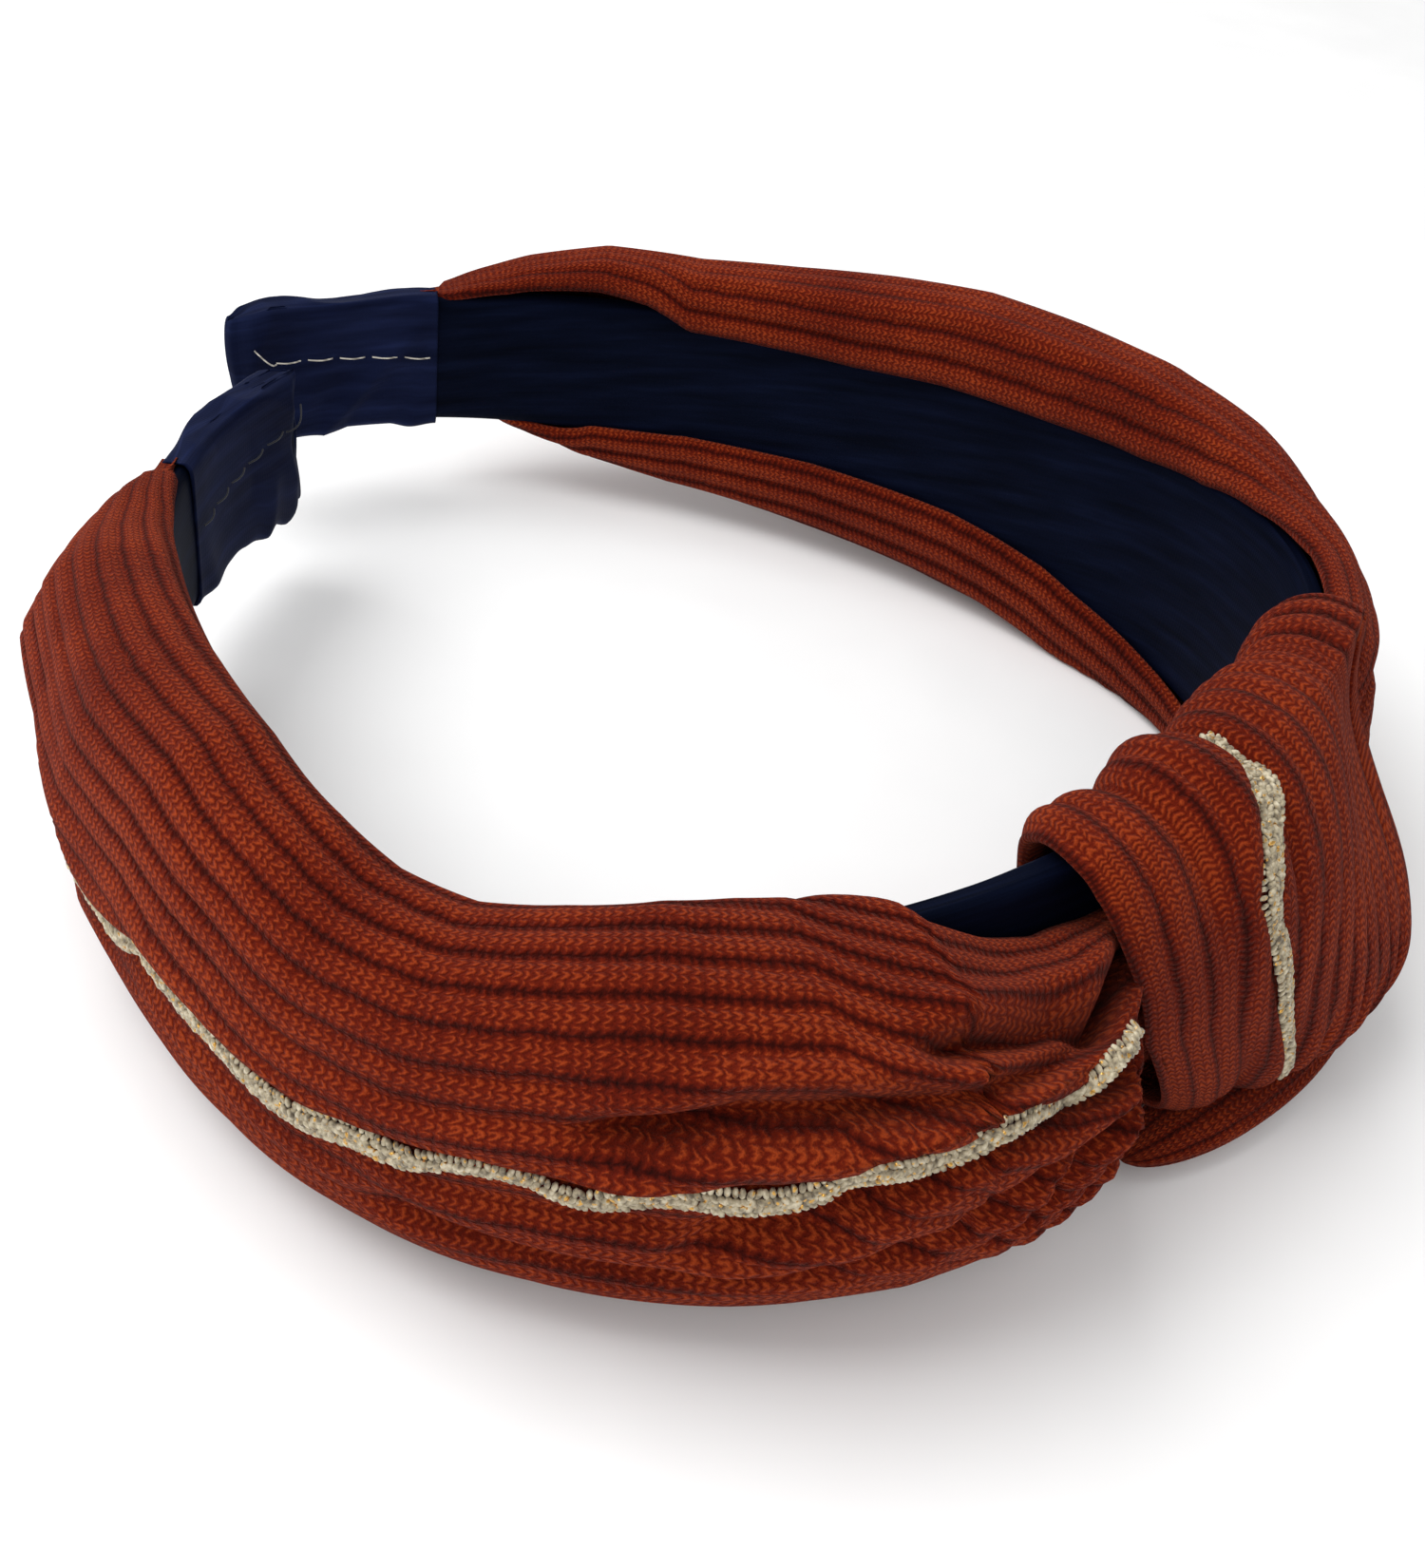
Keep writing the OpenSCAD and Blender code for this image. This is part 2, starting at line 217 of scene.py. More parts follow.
def add(tree, kind, feeds=None, **settings):
    """Adds a node. feeds gives its inputs a node, a socket or a plain value."""
    made = tree.nodes.new(kind)
    for key, value in settings.items():
        setattr(made, key, value)
    for key, value in (feeds or {}).items():
        if isinstance(value, bpy.types.Node):
            value = value.outputs[0]
        if isinstance(value, bpy.types.NodeSocket):
            tree.links.new(value, made.inputs[key])
        else:
            made.inputs[key].default_value = value
    return made


def new_material(name, **shader):
    """A material with a Principled shader set to constants, and its node tree."""
    made = bpy.data.materials.new(name)
    made.use_nodes = True
    tree = made.node_tree
    tree.nodes.clear()
    surface = add(tree, "ShaderNodeBsdfPrincipled", shader)
    add(tree, "ShaderNodeOutputMaterial", {"Surface": surface})
    return made, tree, surface


def ramp(tree, factor, *stops):
    """A colour ramp through (position, hex colour) stops."""
    made = add(tree, "ShaderNodeValToRGB", {0: factor})
    while len(made.color_ramp.elements) < len(stops):
        made.color_ramp.elements.new(0.5)
    for element, (position, code) in zip(made.color_ramp.elements, stops):
        element.position, element.color = position, linear(code)
    return made


# %% [markdown]
# ### Rib knit
# A soft viscose and acrylic yarn knitted two by two: two columns of plain stitches stand up as
# a rib, and two columns of purl lie back between it and the next. A plain column is a chain of
# little Vs, and a purl one is a ladder of bars. The ribs themselves are in the mesh. A rib and
# its valley are about 4 mm across as the knit lies relaxed, so a stitch is 1 mm wide. Stitches
# are drawn here, from the cloth's own UV: U counts ribs and V counts millimetres along them.
# Yarn is hairy and matt, with a little sheen at grazing angles.

# %% Knit material
COURSE = 0.8            # mm from one stitch to the next along a rib
WALES = 4               # stitch columns in one rib and its valley


def knit_material():
    made, tree, surface = new_material("rib knit, rust yarn", **{
        "Roughness": 0.95, "Sheen Weight": 0.2, "Sheen Roughness": 0.35,
        "Sheen Tint": linear("#D88474"), "Specular IOR Level": 0.08})
    cloth = add(tree, "ShaderNodeUVMap", uv_map="cloth")
    room = add(tree, "ShaderNodeTexCoord").outputs["Object"]
    slack = add(tree, "ShaderNodeTexNoise", {"Vector": room, "Scale": 480.0, "Detail": 3.0})
    hairs = add(tree, "ShaderNodeTexNoise", {"Vector": room, "Scale": 3600.0, "Detail": 3.0,
                                             "Roughness": 0.7})
    patches = add(tree, "ShaderNodeTexNoise", {"Vector": room, "Scale": 75.0, "Detail": 2.0})
    parts = add(tree, "ShaderNodeSeparateXYZ", {0: cloth})
    ribs = add(tree, "ShaderNodeMath", {0: slack, 1: 0.22, 2: parts.outputs[0]},
               operation="MULTIPLY_ADD")
    rows = add(tree, "ShaderNodeMath", {0: parts.outputs[1], 1: 1 / COURSE}, operation="MULTIPLY")
    rows = add(tree, "ShaderNodeMath", {0: slack, 1: 1.6, 2: rows}, operation="MULTIPLY_ADD")
    ridge = add(tree, "ShaderNodeMath", {0: ribs, 1: 0.5}, operation="PINGPONG")
    plain = add(tree, "ShaderNodeMapRange", {"Value": ridge, "From Min": 0.08, "From Max": 0.2},
                interpolation_type="SMOOTHSTEP")
    wale = add(tree, "ShaderNodeMath", {0: ribs, 1: WALES}, operation="MULTIPLY")
    inside = add(tree, "ShaderNodeMath", {0: wale, 1: 0.5}, operation="PINGPONG")
    # each leg of a V climbs by most of a stitch from the side of its column to the middle
    slant = add(tree, "ShaderNodeMath", {0: inside, 1: 1.1, 2: rows}, operation="MULTIPLY_ADD")
    legs = add(tree, "ShaderNodeMath", {0: slant, 1: 0.5}, operation="PINGPONG")
    bars = add(tree, "ShaderNodeMath", {0: inside, 1: 0.5, 2: rows}, operation="MULTIPLY_ADD")
    bars = add(tree, "ShaderNodeMath", {0: bars, 1: 0.5}, operation="PINGPONG")
    stitch = add(tree, "ShaderNodeMix", {0: plain, 2: bars, 3: legs})
    # a groove runs between one stitch column and the next: it sinks the bump there, and it also
    # darkens the colour there as painted shade
    groove_and_shade = add(tree, "ShaderNodeMapRange", {"Value": inside, "From Max": 0.22, "To Min": 0.35},
                 interpolation_type="SMOOTHSTEP")
    yarn = add(tree, "ShaderNodeMath", {0: stitch, 1: groove_and_shade}, operation="MULTIPLY")
    fuzzy = add(tree, "ShaderNodeMath", {0: hairs, 1: 0.8, 2: yarn}, operation="MULTIPLY_ADD")
    # little light reaches the valleys between the ribs
    valley = add(tree, "ShaderNodeMapRange", {
        "Value": ridge, "From Max": 0.22, "To Min": 0.06, "To Max": 0.34},
                 interpolation_type="SMOOTHSTEP")
    shade = add(tree, "ShaderNodeMath", {0: fuzzy, 1: 0.56, 2: valley}, operation="MULTIPLY_ADD")
    shade = add(tree, "ShaderNodeMath", {0: patches, 1: 0.3, 2: shade}, operation="MULTIPLY_ADD")
    # the colour follows the stitches' height: their tops are lighter as painted highlight, and the
    # grooves and valleys darker as painted shade; the hairs and patches are the yarn's own uneven
    # tone
    colour = ramp(tree, shade, (0.3, "#160201"), (0.55, "#3C0903"), (0.82, "#641806"),
                  (1.05, "#983A16"))
    bump = add(tree, "ShaderNodeBump", {"Strength": 0.9, "Distance": 0.45 * MM, "Height": fuzzy})
    tree.links.new(colour.outputs[0], surface.inputs["Base Color"])
    tree.links.new(bump.outputs[0], surface.inputs["Normal"])
    return made


# %% [markdown]
# ### Satin
# The sleeve and the tip caps are cut from navy polyester satin. Long floats of thread on its face
# give a soft, broad gloss. Real threads are 0.1 mm apart, too fine to show, so the weave is drawn
# three times as coarse, and faint slubs run along it. The caps catch more light than the sleeve,
# which is held tight and lies in the band's own shadow, so each has its own three shades.

# %% Satin material
def satin_material(name, dark, middle, light):
    made, tree, surface = new_material(name, **{
        "Roughness": 0.68, "Sheen Weight": 0.04, "Sheen Roughness": 0.35,
        "Sheen Tint": linear("#3C5AA8"), "Specular IOR Level": 0.07,
        "Specular Tint": linear("#6C84C0")})
    cloth = add(tree, "ShaderNodeUVMap", uv_map="cloth")
    threads = add(tree, "ShaderNodeTexWave", {"Vector": cloth, "Scale": 1.0, "Distortion": 0.4},
                  bands_direction="Y")
    crossing = add(tree, "ShaderNodeTexWave", {"Vector": cloth, "Scale": 0.7, "Distortion": 0.4},
                   bands_direction="X")
    weave = add(tree, "ShaderNodeMath", {0: threads, 1: crossing}, operation="MULTIPLY")
    longways = add(tree, "ShaderNodeMapping", {"Vector": cloth, "Scale": (0.06, 0.9, 1)})
    slubs = add(tree, "ShaderNodeTexNoise", {"Vector": longways, "Scale": 1.0, "Detail": 3.0})
    relief = add(tree, "ShaderNodeMath", {0: slubs, 1: 1.6, 2: weave}, operation="MULTIPLY_ADD")
    colour = ramp(tree, slubs, (0.3, dark), (0.55, middle), (0.8, light))
    bump = add(tree, "ShaderNodeBump", {"Strength": 0.25, "Distance": 0.06 * MM, "Height": relief})
    tree.links.new(colour.outputs[0], surface.inputs["Base Color"])
    tree.links.new(bump.outputs[0], surface.inputs["Normal"])
    return made


# %% [markdown]
# ### Metallic braid
# Cream rayon wound with a flat gold thread. From one bead of it to the next the thread shows
# more or less, so a fine noise picks where the surface is bright metal and where it is matt
# cream or lies in its own shadow.

# %% Braid material
def braid_material():
    made, tree, surface = new_material("cream rayon braid with gold thread", **{
        "Specular IOR Level": 0.5, "Sheen Weight": 0.2})
    room = add(tree, "ShaderNodeTexCoord").outputs["Object"]
    strands = add(tree, "ShaderNodeTexNoise", {"Vector": room, "Scale": 1500.0, "Detail": 2.0})
    glints = add(tree, "ShaderNodeTexNoise", {"Vector": room, "Scale": 1700.0, "Detail": 1.0})
    gold = add(tree, "ShaderNodeMapRange", {"Value": glints, "From Min": 0.6, "From Max": 0.68})
    cream = ramp(tree, strands, (0.3, "#5C503E"), (0.5, "#A3967A"), (0.75, "#D8CDB2"))
    colour = add(tree, "ShaderNodeMix", {0: gold, 6: cream, 7: linear("#C79A4E")},
                 data_type="RGBA")
    rough = add(tree, "ShaderNodeMapRange", {"Value": gold, "To Min": 0.6, "To Max": 0.22})
    bump = add(tree, "ShaderNodeBump", {"Strength": 0.6, "Distance": 0.1 * MM, "Height": strands})
    tree.links.new(colour.outputs[2], surface.inputs["Base Color"])
    tree.links.new(gold.outputs[0], surface.inputs["Metallic"])
    tree.links.new(rough.outputs[0], surface.inputs["Roughness"])
    tree.links.new(bump.outputs[0], surface.inputs["Normal"])
    return made


# %% [markdown]
# ### Hoop plastic and sewing thread
# The hoop is moulded from ivory ABS, smooth and a little glossy, with faint flow marks. The thread
# on the caps is spun polyester, twisted from two plies: pale on the right cap, navy on the left.

# %% Plastic and thread materials
def plastic_material():
    made, tree, surface = new_material("moulded ivory ABS", **{"IOR": 1.53})
    room = add(tree, "ShaderNodeTexCoord").outputs["Object"]
    flow = add(tree, "ShaderNodeTexNoise", {"Vector": room, "Scale": 180.0, "Detail": 3.0})
    colour = ramp(tree, flow, (0.35, "#DCD3BE"), (0.7, "#E9E2D0"))
    rough = add(tree, "ShaderNodeMapRange", {"Value": flow, "To Min": 0.3, "To Max": 0.45})
    tree.links.new(colour.outputs[0], surface.inputs["Base Color"])
    tree.links.new(rough.outputs[0], surface.inputs["Roughness"])
    return made


def thread_material(name, dark, light):
    made, tree, surface = new_material(name, **{
        "Roughness": 0.75, "Sheen Weight": 0.3})
    room = add(tree, "ShaderNodeTexCoord").outputs["Object"]
    plies = add(tree, "ShaderNodeTexWave", {"Vector": room, "Scale": 700.0, "Distortion": 1.0},
                bands_direction="DIAGONAL")
    colour = ramp(tree, plies, (0.0, dark), (1.0, light))
    tree.links.new(colour.outputs[0], surface.inputs["Base Color"])
    return made


KNIT, BRAID = knit_material(), braid_material()
# both are the same navy satin: the caps' three shades are lighter as painted light, and the
# sleeve's darker as painted shade
SATIN = satin_material("navy satin, sleeve", "#04060F", "#070B1A", "#0C1226")
LIT_CAP_SATIN = satin_material("navy satin, caps", "#0C1024", "#141A34", "#1E2648")
PLASTIC = plastic_material()
THREAD = {LEFT: thread_material("navy thread", "#02030A", "#070B18"),
          RIGHT: thread_material("pale thread", "#8F8A80", "#D8D2C6")}
print("materials", [m.name for m in bpy.data.materials])

# %% [markdown]
# ## The shoulders
# The CAD lets each arm flex about one line near the crown. The real hoop and its cloth bend over
# a longer stretch. Two places along the hoop are given for where that stretch begins and ends,
# but nothing uses them: the pieces that run from the crown into an arm are only baked where
# they lie.

# %% Blend zones
BODY = {LEFT: "left_arm", RIGHT: "right_arm"}
NAME = {LEFT: "left", RIGHT: "right"}
BLEND_FROM, BLEND_TO = 25, 90


def bend_with_arm(piece, side):
    """Bakes the piece's transform into its mesh. The two blend places are worked out but not used,
    so the piece follows neither the crown nor its arm.
    """
    start, end = (place(side * s, 0, 0) for s in (BLEND_FROM, BLEND_TO))
    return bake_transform(piece)


def dress(piece, material, slot, *nodes):
    """Gives a piece its material and lets it stand for CAD nodes. The slot is not used."""
    piece.data.materials.append(material)
    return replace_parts(piece, *nodes)


# %% [markdown]
# ## The hoop
# One plastic strip, widest at the crown and narrow at the tips, hidden in its sleeve. A grid is
# wrapped round its rounded outline. It is made in two halves that meet under the knot, one for
# each arm.

# %% Strip outline and hoop
def strip_outline(s, half_thick, inset, corner, around):
    """(n, z) round a flat strip with rounded corners: arrays [around, stations]. It starts and
    ends in the middle of the strip's outside."""
    half = half_width(s) - inset
    angle = np.linspace(0, 2 * np.pi, around)[:, None]
    c, d = np.cos(angle), np.sin(angle)
    # flat faces with their points spread along them, which drop away only close to the corners
    spread = np.clip(d * 1.25, -1, 1)
    n = np.clip(c * 3.0, -1, 1) * (half_thick - corner * (1 - np.sqrt(1 - np.abs(spread) ** 14)))
    return n + 0 * half, spread * half


HOOP_AROUND = 33
TIP_GAP = 0.6           # mm from the hoop's tip to the end of its sleeve
for side in (LEFT, RIGHT):
    stations = side * np.linspace(0, HOOP_LENGTH[side] - TIP_GAP, 120)
    n, z = strip_outline(stations, HOOP_THICK / 2, (SLEEVE_THICK - HOOP_THICK) / 2, 0.5,
                         HOOP_AROUND)
    points = place(stations, n, z)
    # both ends close on the strip's own middle
    points = np.concatenate([place(stations[:1], n[:, :1] * 0, z[:, :1] * 0.6), points,
                             place(stations[-1:], n[:, -1:] * 0, z[:, -1:] * 0.6)], 1)
    cloth = np.stack(np.meshgrid(np.arange(points.shape[1]) * 1.7, np.arange(HOOP_AROUND)), -1)
    hoop = woven(f"hoop_{NAME[side]}", points, cloth, points.mean(0), closed=True)
    dress(hoop, PLASTIC, "hoop_plastic", f"core_{NAME[side]}", "core_crown")
    bend_with_arm(hoop, side)

# %% [markdown]
# ## The satin sleeve
# A bias-cut tube pulled over the hoop. It follows the strip closely, but the cloth stands a
# little proud between its edges, and long shallow waves run across it where the hoop curves.

# %% Sleeve
SLEEVE_AROUND = 73
PILLOW, WAVE = 0.28, 0.07       # mm
for side in (LEFT, RIGHT):
    stations = side * np.linspace(0, HOOP_LENGTH[side], 170)
    n, z = strip_outline(stations, SLEEVE_THICK / 2, 0, 0.8, SLEEVE_AROUND)
    share = z / half_width(stations)
    pillow = PILLOW * (1 - share ** 2)
    waves = WAVE * np.sin(stations / 3.1 + 2.2 * share) * np.sin(stations / 11 + 1.3)
    n = n + np.sign(n) * np.where(np.abs(n) > 1, pillow + waves, 0)
    girth = 2 * (2 * half_width(stations) + SLEEVE_THICK)
    cloth = np.stack([np.broadcast_to(np.abs(stations), n.shape),
                      np.linspace(0, 1, SLEEVE_AROUND)[:, None] * girth], -1)
    sleeve = woven(f"sleeve_{NAME[side]}_satin", place(stations, n, z), cloth,
                   place(stations, 0, 0), thick=0.25, closed=True)
    dress(sleeve, SATIN, "satin", f"sleeve_{NAME[side]}", "sleeve_crown")
    bend_with_arm(sleeve, side)

# %% [markdown]
# ## The knit wings
# Each wing is one strip of knit with its ribs running lengthwise. It is sewn to the hoop at both
# ends, turned in over the sleeve's edges, and puffs out in between. Its section at any place is
# a rounded C: a table says how far it puffs outwards, up and down there, and how far round its
# two edges reach. The ribs are spaced evenly round that C, so they draw together by themselves
# where the strip is gathered.

# %% Section tables
PUFF_OUT = ((-171, 2.6), (-160, 6.8), (-150, 10.5), (-138, 10.4), (-125, 11.8), (-112, 10.7),
            (-100, 9.9), (-88, 10.6), (-75, 12.3), (-62, 15.3), (-50, 17.7), (-42, 18.2),
            (-34, 17.2), (-29, 11.5), (-25, 7.5), (-15, 7), (0, 7.5), (12, 7), (24, 6.1),
            (34, 5.8), (50, 7.9), (62, 12.4), (75, 15.5), (88, 15.8), (100, 14.5), (112, 13.1),
            (125, 11.9), (138, 11.3), (150, 11.3), (160, 9.1), (171, 4.5))
PUFF_UP = ((-171, 10), (-160, 11.5), (-150, 13.8), (-125, 16.9), (-112, 18), (-100, 16.3),
           (-92, 14.3), (-84, 14.2), (-76, 16.5), (-68, 18.2), (-62, 18.3), (-47, 16.9),
           (-40, 12.3), (-34, 9.1), (-20, 8), (0, 11), (17, 13.5), (21, 15.2), (26, 17.4),
           (34, 17.8), (50, 18), (62, 19.9), (75, 20.9), (100, 20.9), (112, 19.4), (125, 17.6),
           (138, 16.1), (150, 15.7), (160, 13.4), (171, 9.9))
PUFF_DOWN = ((-171, 11.1), (-160, 14), (-150, 16.7), (-138, 18.3), (-125, 19.9), (-112, 20.1),
             (-88, 20), (-75, 20.3), (-50, 21), (-42, 19.9), (-34, 18.2), (-24, 17.9),
             (-14, 13), (12, 13), (24, 17.9), (34, 19.2), (50, 21.4), (62, 21.6), (75, 20.8),
             (88, 18.6), (100, 17.8), (112, 17.3), (125, 16.6), (138, 15.6), (150, 13.9),
             (160, 10.8), (171, 8.9))
# angles round the C at which its upper and lower edges lie: 90 is straight up, past it the edge
# is turned in over the lining
UPPER_EDGE = ((-171, 105), (-162, 132), (-150, 145), (-113, 158), (-70, 156), (-58, 150),
              (-47, 88), (0, 88), (22, 88), (38, 95), (51, 129), (60, 148), (70, 156), (85, 160),
              (113, 164), (137, 161), (143, 147), (150, 140), (163, 128), (171, 105))
LOWER_EDGE = ((-171, -105), (-162, -135), (-150, -154), (-136, -165), (-95, -171), (-62, -157),
              (-50, -149), (-32, -130), (-24, -88), (24, -88), (32, -130), (50, -149),
              (62, -157), (80, -168), (95, -171), (117, -170), (136, -165), (150, -154),
              (158, -120), (164, -88), (171, -88))
BELLY, TURNED_REACH = 2, 5.1            # mm: the C's middle in n, and how far its edges turn in
OUTER_CURVE, INNER_CURVE = 0.85, 0.5    # under 1 is squarer than an ellipse
RIBS = 23
WING_END = 171
ACROSS = np.linspace(0, 1, RIBS * 7 + 1)        # seven columns a rib
TABLE = -CENTRE_HEIGHT                          # the table's z in mm; no cloth goes below it


def c_section(s, angle):
    """(n, z) of the puffed C at distances s and angles in degrees."""
    c, d = np.cos(np.radians(angle)), np.sin(np.radians(angle))
    curve = np.where(c >= 0, OUTER_CURVE, INNER_CURVE)
    reach = np.where(c >= 0, lookup(PUFF_OUT, s), TURNED_REACH)
    tall = np.where(d >= 0, lookup(PUFF_UP, s), lookup(PUFF_DOWN, s))
    return (BELLY + reach * np.sign(c) * np.abs(c) ** curve,
            np.maximum(tall * np.sign(d) * np.abs(d) ** curve, TABLE + 0.05))


def section_line(s, shares):
    """n, z and angle at shares of the way round the C from its upper to its lower edge, the
    direction (dn, dz) along it, and its whole girth in mm."""
    angle = np.linspace(lookup(UPPER_EDGE, s), lookup(LOWER_EDGE, s), 361)
    n, z = c_section(s, angle)
    step = np.hypot(np.diff(n), np.diff(z))
    way = np.concatenate([[0], np.cumsum(step)]) / step.sum()
    n, z, angle = (np.interp(shares, way, v) for v in (n, z, angle))
    dn, dz = np.gradient(n, shares), np.gradient(z, shares)
    size = np.hypot(dn, dz)
    return n, z, angle, dn / size, dz / size, step.sum()


# %% [markdown]
# ### Ribs, folds and the line of the braid
# The strip isn't smooth. Ribs stand up to 0.9 mm proud. Near the knot the left wing is pinched,
# and deep creases start along it and run together into the throat under the wrap. Along the
# braid the knit above it hangs over like a small eave, and the braid lies in the step below.

# %% Relief of the wings
RIB_HEIGHT = 0.9        # mm
SUNK = 0.15             # mm by which the ribs' valleys lie under the plain C


def rib_height(count, squeeze=0.55):
    """Rounded ribs with narrow valleys, from a running count of ribs."""
    return np.abs(np.sin(np.pi * count)) ** squeeze


BRAID_LINE = {
    LEFT: ((-171, 6), (-134, 0), (-118, -9), (-106, -3), (-97, -5), (-90, -6), (-78, 1),
           (-70, 4), (-63, 8.9), (-59, 11.4), (-56.7, 15), (-46.4, 25), (-39.4, 35),
           (-33, 41), (-24, 45)),
    RIGHT: ((24, 0), (60, 2), (90, -4), (120, -2), (150, 1), (171, -2))}
# each crease: (s, angle) along it, its depth and its half width in mm
CREASES = {
    LEFT: ((((-53, 50), (-48, 49.5), (-45, 51.6), (-38.7, 58), (-32, 57), (-24, 60)), 4.2, 1.3),
           (((-74, 20), (-67.6, 25.7), (-63, 32.8), (-57, 33.5), (-48, 34.5), (-41, 44),
             (-34, 52), (-24, 56)), 3.2, 1.15),
           (((-68, -8), (-57.7, 3.3), (-50, 15.3), (-45.6, 21.4), (-40, 27.9), (-35, 33),
             (-24, 38)), 2.4, 1.0),
           (((-47, -22), (-41, -4), (-36, 12), (-30, 24), (-24, 30)), 1.9, 0.9),
           (((-44, -40), (-38, -16), (-32, 8), (-24, 20)), 1.7, 0.9),
           (((-88, -22), (-74, -21), (-60, -16), (-50, -8), (-40, 8), (-30, 26)), 1.6, 0.9)),
    RIGHT: ((((24, 40), (34, 34), (48, 30), (62, 32)), 1.8, 1.1),
            (((24, 5), (36, 2), (54, -8)), 1.5, 1.0),
            (((24, -30), (40, -34), (58, -40)), 1.5, 1.0))}
EAVE, STEP_IN = 1.0, 1.1                # mm
GATHERED_BELOW = 88                     # mm of girth under which the ribs are drawn together
LOBE, LOBE_AT, LOBE_ANGLE = 2.2, -33, 72        # mm proud, s and angle of the left wing's lobe


def wing_relief(side, s, shares, angle, girth):
    """How far the knit stands out of the plain C, in mm, at one distance along the wing, and
    the running count of ribs there."""
    gather = min(1.0, girth / GATHERED_BELOW)
    end = smooth((WING_END + 1 - abs(s)) / 6)
    sway = 0.16 * np.sin(s / 19 + 5 * shares) + 0.08 * np.sin(s / 7.3 - 9 * shares)
    count = shares * RIBS + sway * np.sin(np.pi * shares)
    height = RIB_HEIGHT * gather * (0.35 + 0.65 * end) * rib_height(count)
    # the puffed cloth isn't even either: long soft swells
    height = height + 0.5 * end * np.sin(s / 14 + 3 * shares) * np.sin(np.pi * shares)
    per_degree = girth / (lookup(UPPER_EDGE, s) - lookup(LOWER_EDGE, s))
    for line, depth, width in CREASES[side]:
        off = (angle - lookup(line, s)) * per_degree / width
        first = min(abs(line[0][0]), abs(line[-1][0])), max(abs(line[0][0]), abs(line[-1][0]))
        along = smooth((first[1] - abs(s)) / 5) * smooth((abs(s) - first[0] + 6) / 5)
        height = height - depth * along * np.exp(-off ** 2)
        height = height + 0.35 * depth * along * np.exp(-((np.abs(off) - 2.4) / 1.2) ** 2)
    if side == LEFT:
        # the wing's upper roll ends in a round lobe beside the wrap
        height = height + LOBE * (np.exp(-((angle - LOBE_ANGLE) * per_degree / 4.5) ** 2)
                                  * math.exp(-((s - LOBE_AT) / 5) ** 2))
    # positive above the braid, negative below it
    off = (angle - lookup(BRAID_LINE[side], s)) * per_degree
    eave = EAVE * smooth((off - 0.9) / 0.8) * smooth((5 - off) / 3.5)
    step = STEP_IN * smooth((1.6 - off) / 0.8) * smooth((off + 3.2) / 2)
    return height + end * (eave - step) - SUNK, count


# %% [markdown]
# ### Building a wing
# The sheet's rows run along the wing. Past each long edge a few more rows roll the cloth under
# by half a turn, as a turned hem does. Past the sewn end a few more columns draw the
# section in to the sleeve.

# %% Wings
HEM_RADIUS = 0.65       # mm
HEM_BACK = 2.6          # mm of cloth lying flat behind the edge
HEM_TURN = np.radians((40, 80, 120, 160, 180))
HEM_STEP = 0.12         # ribs of cloth from one row of the hem to the next
STEP_ALONG = 0.72       # mm from one row of corners to the next along a wing
# past the sewn end: (mm further on, share of the way from the C to the sleeve)
CLOSING = ((0.6, 0.25), (1.2, 0.6), (1.7, 0.88), (2.4, 1.0), (4.0, 1.0))
HUG_GAP = 0.35          # mm


def hem(sign):
    """(along, under) in mm for the rows past an edge: half a turn, then flat on the back."""
    rows = [(math.sin(a), 1 - math.cos(a)) for a in HEM_TURN] + [(-HEM_BACK / HEM_RADIUS, 2)]
    rows = [(a * HEM_RADIUS, b * HEM_RADIUS) for a, b in rows]
    return rows if sign > 0 else rows[::-1]


def hug_line(s, shares):
    """(n, z) on the sleeve itself, from its upper turned-in edge round to the lower one."""
    t, half = SLEEVE_THICK / 2 + HUG_GAP, half_width(s) + HUG_GAP
    far = half + t
    q = (1 - 2 * shares) * far
    out = np.where(np.abs(q) <= half, t,
                   np.where(np.abs(q) <= half + 2 * t, t - (np.abs(q) - half), -t))
    up = np.where(np.abs(q) <= half, q,
                  np.sign(q) * np.where(np.abs(q) <= half + 2 * t, half,
                                        2 * half + 2 * t - np.abs(q)))
    return out, up


def wing_sheet(side):
    """Points, UV and middle line of one wing."""
    # under the knot the rows may lie further apart
    body = np.concatenate([np.arange(0, 20, 1.5), np.arange(20, WING_END, STEP_ALONG),
                           [WING_END]])
    columns, uvs, middles = [], [], []
    for along, shut in [(d, 0) for d in body] + [(WING_END + e, k) for e, k in CLOSING]:
        s = side * along
        n, z, angle, dn, dz, girth = section_line(s, ACROSS)
        height, count = wing_relief(side, s, ACROSS, angle, girth)
        n, z = n - dz * height, z + dn * height
        if shut:
            hn, hz = hug_line(s, ACROSS)
            n, z = n + (hn - n) * shut, z + (hz - z) * shut
        before, after = ([(a * (1 - 0.9 * shut), b * (1 - 0.9 * shut)) for a, b in hem(sign)]
                         for sign in (-1, 1))
        n = np.concatenate([[n[0] - dn[0] * a + dz[0] * b for a, b in before], n,
                            [n[-1] + dn[-1] * a + dz[-1] * b for a, b in after]])
        z = np.concatenate([[z[0] - dz[0] * a - dn[0] * b for a, b in before], z,
                            [z[-1] + dz[-1] * a - dn[-1] * b for a, b in after]])
        past = HEM_STEP * np.arange(1, len(before) + 1)
        count = np.concatenate([-past[::-1], ACROSS * RIBS, RIBS + past])
        z = np.maximum(z, TABLE + 0.04)
        columns.append(place(s, n, z))
        uvs.append(np.stack([count, np.full_like(count, along)], -1))
        middles.append(place(s, BELLY, 0))
    return np.stack(columns, 1), np.stack(uvs, 1), middles


for side in (LEFT, RIGHT):
    points, cloth, middles = wing_sheet(side)
    wing = woven(f"wing_{NAME[side]}_knit", points, cloth, middles, thick=0.5)
    dress(wing, KNIT, "rib_knit", f"knit_{NAME[side]}", "knit_middle")
    bend_with_arm(wing, side)

